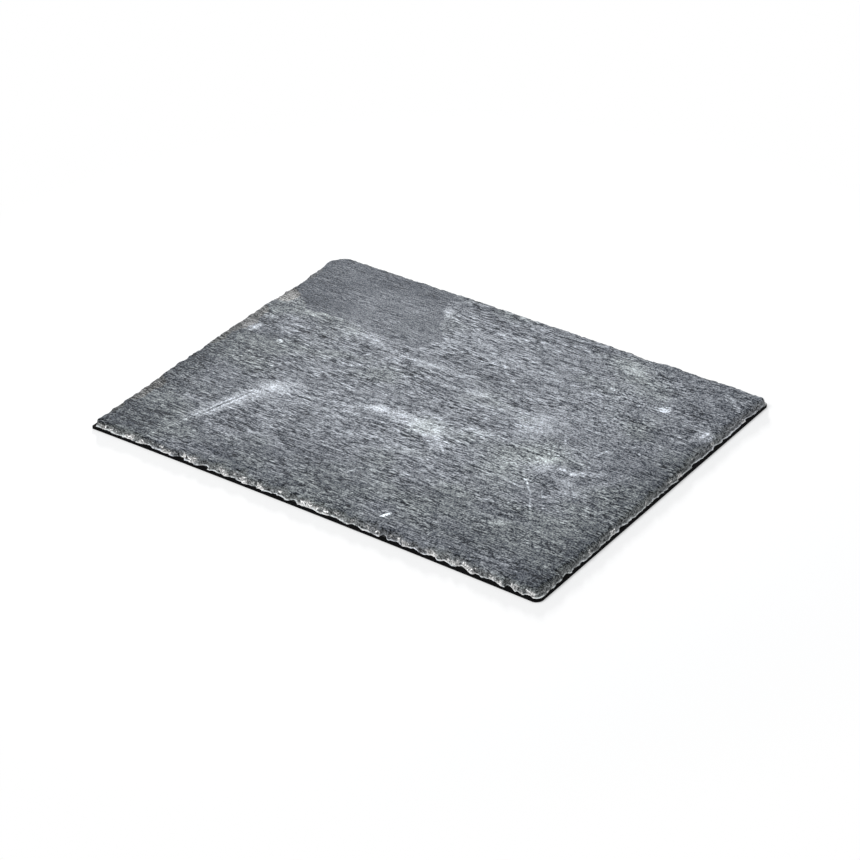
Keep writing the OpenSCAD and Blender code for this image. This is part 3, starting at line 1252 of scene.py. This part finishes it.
    def rim_order(self, points: np.ndarray) -> Tuple[np.ndarray, np.ndarray]:
        """Finds the mesh's rings.

        Args:
            points: the plate's points.

        Returns:
            The number of each ring's points in order round the rim, one row for a ring, and for each
            column its place round the rim: the edge's number plus the share of its length.
        """
        half_x = self.length / 2 - self.band
        half_y = self.width / 2 - self.band
        x, y = points[:, 0] / half_x, points[:, 1] / half_y
        ring = np.rint(-points[:, 2]).astype(int)
        near = 1.0 - 1.0e-4
        on_rim = (np.abs(x) > near) | (np.abs(y) > near)
        place = np.full(len(points), -1.0)
        place = np.where((y < -near) & (x < near), (x + 1) / 2, place)
        place = np.where((x > near) & (y < near), 1 + (y + 1) / 2, place)
        place = np.where((y > near) & (x > -near), 2 + (1 - x) / 2, place)
        place = np.where((x < -near) & (y > -near), 3 + (1 - y) / 2, place)
        rows = []
        for number in range(self.rings + 1):
            members = np.flatnonzero(on_rim & (ring == number))
            rows.append(members[np.argsort(place[members])])
        return np.array(rows), place[rows[0]]

    def path(self, edge: Edge) -> Triple:
        """Lengths of half of an edge's first corner, its straight part and half of its last corner."""
        start, end = self.radii[edge.value], self.radii[(edge.value + 1) % 4]
        return start * math.pi / 4, self.edge_length(edge) - start - end, end * math.pi / 4

    def walk_to(self, edge: Edge, along: float) -> float:
        """Length of the way round the rim, from the middle of the front left corner.

        Args:
            edge: the edge that it leads to.
            along: the place at that edge, from the edge's middle.

        Returns:
            The length of the way, anticlockwise.
        """
        before = sum(sum(self.path(other)) for other in Edge if other.value < edge.value)
        start = self.radii[edge.value]
        return before + self.path(edge)[0] + along + self.edge_length(edge) / 2 - start

    def outline(self, place: np.ndarray) -> Tuple[np.ndarray, ...]:
        """Follows the slab's outline before it is dressed, and the rim of the inner grid.

        Args:
            place: places round the rim, as rim_order gives them.

        Returns:
            X and Y on the outline, X and Y on the inner rim, and the length of the way round.
        """
        result = tuple(np.zeros_like(place) for _ in range(5))
        for edge in Edge:
            mine = np.floor(place).astype(int) == edge.value
            share = place[mine] - edge.value
            half = self.edge_length(edge) / 2
            distance = self.edge_distance(edge)
            start, end = self.radii[edge.value], self.radii[(edge.value + 1) % 4]
            first, straight, last = self.path(edge)
            walked = share * (first + straight + last)
            on_start = np.clip((first - walked) / start, 0.0, math.pi / 4)
            on_end = np.clip((walked - first - straight) / end, 0.0, math.pi / 4)
            along = -half + start + np.clip(walked - first, 0.0, straight)
            along = along - start * np.sin(on_start) + end * np.sin(on_end)
            out = distance - start * (1 - np.cos(on_start)) - end * (1 - np.cos(on_end))
            result[0][mine], result[1][mine] = self.turned(edge, along, out)
            inner = (2 * share - 1) * (half - self.band)
            inner_out = np.full_like(inner, distance - self.band)
            result[2][mine], result[3][mine] = self.turned(edge, inner, inner_out)
            result[4][mine] = self.walk_to(edge, start - half) - first + walked
        return result

    def sheet_distance(self, x: np.ndarray, y: np.ndarray,
                       shares: Sequence[Tuple[float, float]]) -> np.ndarray:
        """Distance from a sheet's outline.

        Args:
            x: places along X.
            y: places along Y.
            shares: the outline, in shares of the length and width.

        Returns:
            The distances, above 0 on the sheet.
        """
        corners = np.array(shares) * (self.length, self.width)
        nearest = np.full(x.shape, np.inf)
        inside = np.zeros(x.shape, bool)
        for (ax, ay), (bx, by) in zip(corners, np.roll(corners, -1, axis=0)):
            dx, dy = bx - ax, by - ay
            share = np.clip(((x - ax) * dx + (y - ay) * dy) / (dx * dx + dy * dy), 0.0, 1.0)
            nearest = np.minimum(nearest, np.hypot(x - ax - share * dx, y - ay - share * dy))
            if dy:
                crosses = ((ay > y) != (by > y)) & (x < dx * (y - ay) / dy + ax)
                inside = inside ^ crosses
        return np.where(inside, nearest, -nearest)

    def face(self, x: np.ndarray, y: np.ndarray) -> np.ndarray:
        """Height of the riven face over the slab's bottom, before the edges are dressed.

        Args:
            x: places along X.
            y: places along Y.

        Returns:
            The heights, with the cleavage sheets and low waves.
        """
        warp = self.lattice(Draw.WARP)
        warped_x = x + 3.0 * warp.at(x, y, 14.0, 9.0)
        warped_y = y + 2.5 * warp.at(y + 300.0, x, 12.0, 12.0)
        waves = self.lattice(Draw.WAVES)
        height = 0.10 * waves.at(x, y, 46.0, 20.0) + 0.07 * waves.at(x + 500.0, y, 20.0, 8.0)
        for shares in (self.FIRST_SHEET, self.SECOND_SHEET):
            away = self.sheet_distance(warped_x, warped_y, shares)
            height = height + self.step * np.clip(away / self.sheet_slope + 0.5, 0.0, 1.0)
        return self.thickness + height

    def roughened(self, x: np.ndarray, y: np.ndarray) -> np.ndarray:
        """How crinkled the riven face is.

        Args:
            x: places along X.
            y: places along Y.

        Returns:
            Numbers from 0 to 1, highest towards the right, the left and the front.
        """
        patches = self.lattice(Draw.CRINKLES).at(x, y, 34.0, 26.0)
        rightwards, leftwards, frontwards = (x - 30.0) / 70.0, (-150.0 - x) / 30.0, (-90.0 - y) / 60.0
        outwards = np.clip(np.maximum.reduce((rightwards, leftwards, frontwards)), 0.0, 1.0)
        return np.clip(0.12 + 0.8 * outwards + 0.2 * patches, 0.0, 1.0)

    def rim_curves(self, walk: np.ndarray) -> Tuple[np.ndarray, np.ndarray]:
        """Follows the broken edge round the rim.

        Args:
            walk: places round the rim.

        Returns:
            How far the bottom outline is bitten in, and how far the bevel reaches in on the riven face.
        """
        foot = np.full_like(walk, 0.1)
        reach = np.full_like(walk, 0.3)
        whole = sum(sum(self.path(edge)) for edge in Edge)
        scars = [(self.walk_to(edge, scar.place), scar) for edge in Edge for scar in self.scars(edge)]
        for edge, corner in zip(Edge, self.CORNER_SCARS):
            scars.append((self.walk_to(edge, -self.edge_length(edge) / 2), Scar(*corner)))
        for middle, scar in scars:
            away = (walk - middle + whole / 2) % whole - whole / 2
            arch = np.clip(1.0 - (2.0 * away / scar.width) ** 2, 0.0, 1.0)
            foot = np.maximum(foot, scar.bite * arch)
            crest = np.clip(1.0 - (1.5 * away / scar.width) ** 2, 0.0, 1.0)
            reach = np.maximum(reach, scar.reach * np.sqrt(crest))
        ragged = self.lattice(Draw.RIM, 256)
        row = np.zeros_like(walk)
        foot = foot + 0.35 * ragged.at(walk, row, 2.6, 1.0) + 0.25 * ragged.at(walk, row + 9.5, 1.1, 1.0)
        reach = reach * (1.0 + 0.35 * ragged.at(walk, row + 20.5, 3.6, 1.0))
        reach = reach + 0.3 * ragged.at(walk, row + 5.5, 1.3, 1.0)

        # The bow of the front edge
        middle = self.walk_to(Edge.FRONT, 0.0)
        away = np.abs((walk - middle + whole / 2) % whole - whole / 2)
        share = np.clip(away / (self.length / 2), 0.0, 1.0)
        bowed = self.bow * (1.0 - share ** 2) + 0.1 * np.clip(8.0 * (1.0 - share), 0.0, 1.0)
        foot = np.clip(np.clip(1.5 * foot - 0.05, 0.03, None) + bowed, None, self.deepest)
        return foot, np.maximum(reach, foot + 0.3)

    def by_edge(self, walk: np.ndarray, values: Sequence[float]) -> np.ndarray:
        """The value of the edge that each place round the rim is on."""
        ends = np.cumsum([sum(self.path(edge)) for edge in Edge])
        return np.array(values)[np.searchsorted(ends[:-1], walk % ends[-1])]

    def lip_depth(self, walk: np.ndarray) -> np.ndarray:
        """Depth of the thin lip at each place round the rim."""
        ragged = self.lattice(Draw.LIPS, 256).at(walk, np.zeros_like(walk), 2.6, 1.0)
        return self.by_edge(walk, self.lips) * (1.0 + 0.5 * ragged)

    def freshness(self, walk: np.ndarray) -> np.ndarray:
        """How much of the broken edge is freshly flaked.

        Args:
            walk: places round the rim.

        Returns:
            Numbers from 0 to 1, highest in the front edge's clusters of fresh flakes.
        """
        made = np.full_like(walk, 0.12)
        for place, width, strength in self.FRONT_FLAKES:
            away = np.abs(walk - self.walk_to(Edge.FRONT, place)) / (width / 2)
            made = np.maximum(made, strength * np.clip(2.5 * (1.2 - away), 0.0, 1.0))
        return made

    def broken(self, walk: np.ndarray, inward: np.ndarray, foot: np.ndarray,
               reach: np.ndarray) -> Tuple[np.ndarray, np.ndarray, np.ndarray]:
        """Shape of the broken edge.

        Args:
            walk: places round the rim.
            inward: distances in from the outline.
            foot: bite of the bottom outline at each place.
            reach: reach of the bevel at each place.

        Returns:
            Height as a share of the face's height, what the chips add to it, and the tone of the chips.
        """
        share = np.clip((inward - foot) / (reach - foot), 0.0, 1.0)
        rise = self.wall + (1.0 - self.wall) * (1.0 - (1.0 - share) ** self.crown)
        lip = np.broadcast_to(self.lip_depth(walk), inward.shape)
        ledge = self.lip_height / self.height * np.clip((inward - foot) / lip, 0.0, 1.0)
        past_lip = np.clip((inward - foot - 0.9 * lip) / self.feather, 0.0, 1.0)
        rise = ledge + (np.maximum(rise, ledge) - ledge) * past_lip
        coarse_chips = Chips(self.seed + Draw.COARSE_CHIPS.value, 8.0, 3.6)
        fine_chips = Chips(self.seed + Draw.FINE_CHIPS.value, 3.4, 1.5)
        coarse, coarse_tone = coarse_chips.at(walk + inward * 1.4, inward)
        fine, fine_tone = fine_chips.at(walk - inward * 0.8, inward)
        strength = np.clip(6.0 * share - 0.2, 0.0, 1.0) * np.clip(3.0 * (1.0 - share), 0.0, 1.0)
        return rise, strength * (0.55 * coarse + 0.25 * fine), 0.6 * coarse_tone + 0.4 * fine_tone

    def thin_flakes(self, x: np.ndarray, y: np.ndarray) -> Tuple[np.ndarray, np.ndarray]:
        """What the thin flakes take off the riven face.

        Args:
            x: places along X.
            y: places along Y.

        Returns:
            How deep the face is lowered, and how stained the bared stone is.
        """
        warp = self.lattice(Draw.FLAKE_OUTLINES)
        ragged = 2.2 * warp.at(x, y, 7.0, 7.0) + 1.1 * warp.at(x + 33.0, y, 2.6, 2.6)
        depth = np.zeros(x.shape)
        stain = np.zeros(x.shape)
        for flake in self.flakes():
            out = np.array(self.edge_distance(flake.edge))
            middle_x, middle_y = self.turned(flake.edge, np.array(flake.place), out)
            runs_along_x = flake.edge in (Edge.FRONT, Edge.BACK)
            along = (x - middle_x if runs_along_x else y - middle_y) / (flake.width / 2)
            inward = np.abs(y - middle_y if runs_along_x else x - middle_x)
            reach = flake.reach * np.sqrt(np.clip(1.0 - along * along, 0.0, 1.0)) + ragged
            share = np.clip((reach - inward) / 0.9, 0.0, 1.0) * (np.abs(along) < 1)
            depth = np.maximum(depth, share * flake.depth)
            stain = np.maximum(stain, share * flake.stain)
        return depth, stain

    def dress(self, plate: bpy.types.Object) -> None:
        """Shapes the plate's walls into the dressed edges and its top into the riven face.

        Args:
            plate: the plate from lay_plate.
        """
        mesh = plate.data
        points = np.empty(len(mesh.vertices) * 3)
        mesh.vertices.foreach_get("co", points)
        points = points.reshape(-1, 3)
        order, place = self.rim_order(points)
        outer_x, outer_y, inner_x, inner_y, walk = self.outline(place)
        foot, reach = self.rim_curves(walk)

        # Rings of the edge band, closer together towards the bottom outline
        spread = (1.0 - np.arange(self.rings + 1) / self.rings) ** self.gather
        inward = foot + (self.band - foot) * spread[:, None]
        points[order, 0] = outer_x + (inner_x - outer_x) * inward / self.band
        points[order, 1] = outer_y + (inner_y - outer_y) * inward / self.band

        x, y = points[:, 0], points[:, 1]
        face = self.face(x, y)
        lowered, stain = self.thin_flakes(x, y)
        rise, chips, chip_tone = self.broken(walk[None, :], inward, foot, reach)
        height = face - lowered
        height[order] = np.minimum(height[order], face[order] * rise + chips)

        # The stone breaks in thin leaves
        leaves = height / self.leaf + 1.2 * self.lattice(Draw.LEAVES).at(x, y, 13.0, 13.0)
        part = leaves - np.floor(leaves)
        stepped = height + self.leaf * (np.clip(part * 2.2 - 0.6, 0.0, 1.0) - part)
        height = np.where(face - height > 0.25, 0.5 * height + 0.5 * stepped, height)
        height = np.clip(height, self.least, None)
        height[order[-1]] = 0.0
        points[:, 2] = self.bottom + height
        mesh.vertices.foreach_set("co", (points * MM).ravel())

        # Numbers that the finish reads
        pale = np.zeros(len(points))
        pale[order] = np.clip((chip_tone - 0.80 + 0.48 * self.freshness(walk)) / 0.10, 0.0, 1.0)
        rim = np.zeros(len(points))
        rim[order] = np.clip(3.0 - 3.0 * (inward - foot) / self.lip_depth(walk), 0.0, 1.0)
        # Painted light on the bevel, for each edge: strongest at the front and right edges.
        dust_and_painted_light = np.zeros(len(points))
        dust_and_painted_light[order] = self.by_edge(walk, self.painted_bevel_light)
        rim_walk, rim_inward = np.zeros(len(points)), np.zeros(len(points))
        rim_walk[order], rim_inward[order] = np.broadcast_to(walk, order.shape), inward
        values = {
            "scar_depth": face - height,
            "pale": pale,
            "stain": stain,
            "rim": rim,
            "dust_and_painted_light": dust_and_painted_light,
            "roughened": self.roughened(x, y),
            "rim_walk": rim_walk,
            "rim_inward": rim_inward,
            "first_sheet": self.sheet_distance(x, y, self.FIRST_SHEET),
            "second_sheet": self.sheet_distance(x, y, self.SECOND_SHEET),
        }
        for name, numbers in values.items():
            mesh.attributes.new(name, "FLOAT", "POINT").data.foreach_set("value", numbers.astype(np.float32))
        mesh.update()

    def build(self) -> bpy.types.Object:
        """Makes and dresses the slab.

        Returns:
            The finished slab.
        """
        slab = self.lay_plate()
        self.dress(slab)
        bpy.ops.object.shade_smooth_by_angle(angle=math.radians(self.sharpest))
        slab.data.materials.append(SlateFinish().material())
        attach(slab, "root")
        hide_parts("slate_slab")
        return slab


@dataclass
class FoamBacking:
    """The black foam sheet under the slab.

    Attributes:
        length: length along X.
        width: width along Y.
        thickness: thickness of the sheet.
        radii: corner radii, anticlockwise from the front left.
        corner_segments: mesh edges round each corner.
        front_cuts: cuts in the front edge, for its bow.
        softness: rounding of its upper edge.
        soft_segments: mesh edges across that rounding.
        bow: how far its front edge bows inwards at the middle.
        sharpest: degrees between faces up to which they are shaded smooth.
    """

    length: float = BOARD_LENGTH
    width: float = BOARD_WIDTH
    thickness: float = 2.0
    radii: ByEdge = (1.5, 6.0, 3.5, 6.0)
    corner_segments: int = 10
    front_cuts: int = 31
    softness: float = 0.25
    soft_segments: int = 3
    bow: float = FRONT_BOW
    sharpest: float = 40.0

    @staticmethod
    def pick_edges(sheet: bpy.types.Object, wanted: Callable[[Vector], bool]) -> None:
        """Selects the edges whose ends both lie where they are wanted.

        Args:
            sheet: the object in edit mode.
            wanted: says whether a point lies there.
        """
        bpy.ops.mesh.select_all(action="DESELECT")
        shape = bmesh.from_edit_mesh(sheet.data)
        for edge in shape.edges:
            if all(wanted(point.co) for point in edge.verts):
                edge.select_set(True)
        bmesh.update_edit_mesh(sheet.data)

    def build(self) -> bpy.types.Object:
        """Makes the sheet.

        Returns:
            The finished sheet.
        """
        bpy.ops.object.select_all(action="DESELECT")
        bpy.ops.mesh.primitive_plane_add(size=1.0)
        sheet = bpy.context.active_object
        sheet.name = sheet.data.name = "foam_sheet"
        front = -self.width * MM / 2
        top = self.thickness * MM
        near = 1.0e-6

        # The outline: rounded corners, and a front edge that bows a little
        bpy.ops.object.mode_set(mode="EDIT")
        bpy.ops.mesh.select_mode(type="EDGE")
        bpy.ops.transform.resize(value=(self.length * MM, self.width * MM, 1.0))
        bpy.ops.mesh.select_mode(type="VERT")
        sides = ((-1, -1), (1, -1), (1, 1), (-1, 1))
        for (side_x, side_y), radius in zip(sides, self.radii):
            bpy.ops.mesh.select_all(action="DESELECT")
            shape = bmesh.from_edit_mesh(sheet.data)
            max(shape.verts, key=lambda point: side_x * point.co.x + side_y * point.co.y).select_set(True)
            bmesh.update_edit_mesh(sheet.data)
            bpy.ops.mesh.bevel(offset=radius * MM, segments=self.corner_segments, affect="VERTICES")
        bpy.ops.mesh.select_mode(type="EDGE")
        self.pick_edges(sheet, lambda point: point.y < front + near)
        bpy.ops.mesh.subdivide(number_cuts=self.front_cuts)
        shape = bmesh.from_edit_mesh(sheet.data)
        for point in shape.verts:
            if point.co.y < front + near:
                point.co.y += self.bow * MM * (1.0 - (2.0 * point.co.x / (self.length * MM)) ** 2)
        bmesh.update_edit_mesh(sheet.data)

        # The thickness, with a softened upper edge
        bpy.ops.mesh.select_all(action="SELECT")
        bpy.ops.mesh.extrude_region_move(TRANSFORM_OT_translate={"value": (0.0, 0.0, top)})
        bpy.ops.mesh.select_all(action="SELECT")
        bpy.ops.mesh.normals_make_consistent(inside=False)
        self.pick_edges(sheet, lambda point: point.z > top - near)
        bpy.ops.mesh.bevel(offset=self.softness * MM, segments=self.soft_segments, affect="EDGES")
        bpy.ops.object.mode_set(mode="OBJECT")
        bpy.ops.object.shade_smooth_by_angle(angle=math.radians(self.sharpest))
        sheet.data.materials.append(FoamFinish().material())
        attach(sheet, "root")
        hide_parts("foam_backing")
        return sheet


@dataclass
class AdhesiveFilm:
    """The film of adhesive between the slab and the backing, which keeps its CAD shape.

    Attributes:
        node: name of its CAD node.
    """

    node: str = "adhesive_film"

    def build(self) -> bpy.types.Object:
        """Dresses the film and returns it."""
        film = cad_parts[self.node]
        film.data.materials.clear()
        film.data.materials.append(AdhesiveFinish().material())
        return film


@dataclass
class Studio:
    """Plain white table, soft light and the camera.

    Attributes:
        azimuth: degrees of the camera from the front, towards the right.
        elevation: degrees of the camera over the table.
        roll: degrees that the camera is turned about its own axis.
        distance: metres from the camera to its aim.
        aim: the point of the table in the middle of the picture, in metres.
        focal_share: focal length as a share of the picture's width.
        sensor: width of the camera's sensor, in millimetres.
        table_size: metres along each side of the table.
        table_drop: metres between the board's underside and the table, so that they don't coincide.
        table_grey: colour of the table as the board sees it.
        table_white: colour of the table where it shows the board's shadow.
        shadow_share: how much of the shadow the camera sees on the table.
        shadow_near: metres from the middle up to which all of that shows.
        shadow_far: metres from the middle from which none of it shows.
        room_colour: colour of the room's even light.
        room_light: strength of the room's even light.
    """

    azimuth: float = 37.292
    elevation: float = 32.526
    roll: float = -2.139
    distance: float = 2.2150
    aim: Triple = (0.01096, -0.01488, 0.00042)
    focal_share: float = 3.514
    sensor: float = 36.0
    table_size: float = 60.0
    table_drop: float = 0.1 * MM
    table_grey: Colour = (0.80, 0.80, 0.80)
    table_white: Colour = (0.98, 0.98, 0.98)
    shadow_share: float = 0.65
    shadow_near: float = 0.32
    shadow_far: float = 0.5
    room_colour: Colour = (0.97, 0.985, 1.0)
    room_light: float = 0.45

    WHITE = (1.0, 1.0, 1.0)

    @staticmethod
    def towards(turn: float, lift: float) -> Vector:
        """The direction of a camera or lamp from the board.

        Args:
            turn: degrees from the front, towards the right.
            lift: degrees over the table.

        Returns:
            The direction, of length 1.
        """
        turn, lift = math.radians(turn), math.radians(lift)
        return Vector((math.sin(turn) * math.cos(lift), -math.cos(turn) * math.cos(lift), math.sin(lift)))

    def place_camera(self) -> None:
        """Sets up the camera."""
        turn, roll = math.radians(self.azimuth), math.radians(self.roll)
        back = self.towards(self.azimuth, self.elevation)
        level = Vector((math.cos(turn), math.sin(turn), 0.0))
        upright = back.cross(level)
        right = math.cos(roll) * level + math.sin(roll) * upright
        up = math.cos(roll) * upright - math.sin(roll) * level
        data = bpy.data.cameras.new("camera")
        data.sensor_width = self.sensor
        data.lens = self.sensor * self.focal_share
        data.clip_end = self.table_size
        camera = bpy.data.objects.new("camera", data)
        pose = Matrix((right, up, back)).transposed().to_4x4()
        pose.translation = Vector(self.aim) + back * self.distance
        camera.matrix_world = pose
        bpy.context.scene.collection.objects.link(camera)
        bpy.context.scene.camera = camera

    def lay_table(self) -> None:
        """Lays the white table top.

        The camera sees it as a white background with a soft shadow, and looks through it from below.
        """
        bpy.ops.object.select_all(action="DESELECT")
        bpy.ops.mesh.primitive_plane_add(size=self.table_size, location=(0.0, 0.0, -self.table_drop))
        table = bpy.context.active_object
        table.name = "table"
        bench = Bench(bpy.data.materials.new("white_table"))
        plain = bench.node("BsdfDiffuse", None, {"Color": rgba(self.table_grey)})
        glow = bench.node("Emission", None, {"Color": rgba(self.WHITE), "Strength": 1.0})
        shaded = bench.node("BsdfDiffuse", None, {"Color": rgba(self.table_white)})
        clear = bench.node("BsdfTransparent")
        place = bench.node("TexCoord").outputs["Object"]
        away = Field(bench, bench.node("VectorMath", {"operation": "LENGTH"}, {0: place}).outputs["Value"])
        near = self.shadow_share * bench.step(away, self.shadow_far, self.shadow_near)
        below = bench.node("NewGeometry").outputs["Backfacing"]
        white = bench.shaders(near, glow, shaded)
        above = bench.shaders(bench.seen(), plain, white)
        bench.node("OutputMaterial", None, {"Surface": bench.shaders(below, above, clear).outputs[0]})
        table.data.materials.append(bench.owner)

    def hang_lamp(self, name: str, turn: float, lift: float, distance: float, size: float,
                  power: float) -> None:
        """Hangs a soft square lamp that looks at the board.

        Args:
            name: the lamp's name.
            turn: degrees from the front, towards the right.
            lift: degrees over the table.
            distance: metres from the board.
            size: metres along each side.
            power: watts.
        """
        data = bpy.data.lights.new(name, "AREA")
        data.shape = "SQUARE"
        data.size = size
        data.energy = power
        lamp = bpy.data.objects.new(name, data)
        back = self.towards(turn, lift)
        lamp.location = back * distance
        lamp.rotation_euler = back.to_track_quat("Z", "Y").to_euler()
        bpy.context.scene.collection.objects.link(lamp)

    def light(self) -> None:
        """Sets the even light of the room and hangs the lamps."""
        bench = Bench(bpy.data.worlds.new("room"))
        even = bench.node("Background", None, {"Color": rgba(self.room_colour), "Strength": self.room_light})
        white = bench.node("Background", None, {"Color": rgba(self.WHITE), "Strength": 1.0})
        shown = bench.shaders(bench.seen(), even, white)
        bench.node("OutputWorld", None, {"Surface": shown.outputs[0]})
        bpy.context.scene.world = bench.owner
        self.hang_lamp("left_softbox", turn=-55.0, lift=52.0, distance=4.2, size=1.6, power=78.0)
        self.hang_lamp("back_softbox", turn=-140.0, lift=15.5, distance=3.8, size=0.4, power=104.0)
        self.hang_lamp("top_fill", turn=-150.0, lift=65.0, distance=4.0, size=2.0, power=22.0)

    def build(self) -> None:
        """Sets up the whole studio."""
        self.place_camera()
        self.lay_table()
        self.light()
        bpy.context.scene.view_settings.view_transform = "Standard"


def main() -> None:
    """Builds the board piece by piece and the studio round it."""
    logging.basicConfig(level=logging.INFO, format="%(name)s: %(message)s")
    Studio().build()
    for part in (FoamBacking(), AdhesiveFilm(), SlateSlab()):
        piece = part.build()
        piece.data.calc_loop_triangles()
        log.info("%s: %d triangles", piece.name, len(piece.data.loop_triangles))


if __name__ == "__main__":
    main()
